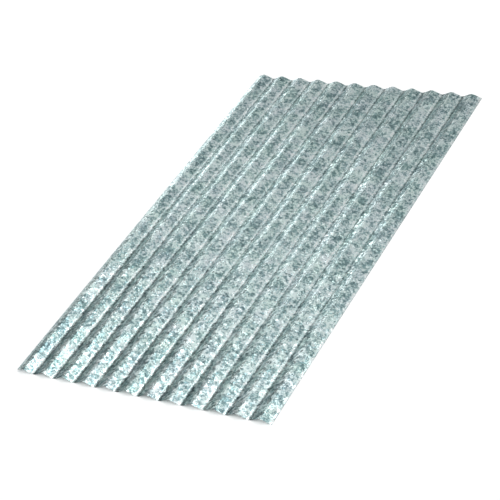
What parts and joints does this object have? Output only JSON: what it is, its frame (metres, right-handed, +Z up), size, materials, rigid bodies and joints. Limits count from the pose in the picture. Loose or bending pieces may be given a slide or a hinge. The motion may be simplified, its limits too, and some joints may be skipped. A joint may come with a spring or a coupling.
{
  "type": "corrugated metal sheet",
  "caption": "Flat-lying sheet of galvanised steel rolled to an arc-and-tangent wave, for roofing, cladding and fencing.",
  "frame": {"origin": "middle of the overall box, on the level that the undersides of the valleys rest on", "axes": "+Y along the waves, +X across them towards the wide side lip, +Z up out of the sheet's weather face"},
  "size_m": [0.7982, 1.5, 0.0127],
  "materials": {
    "galvanised_steel": "hot-dip galvanised with a regular zinc spangle, unpainted"
  },
  "bodies": {
    "root": {"corrugated_sheet": "galvanised_steel"}
  },
  "joints": []
}
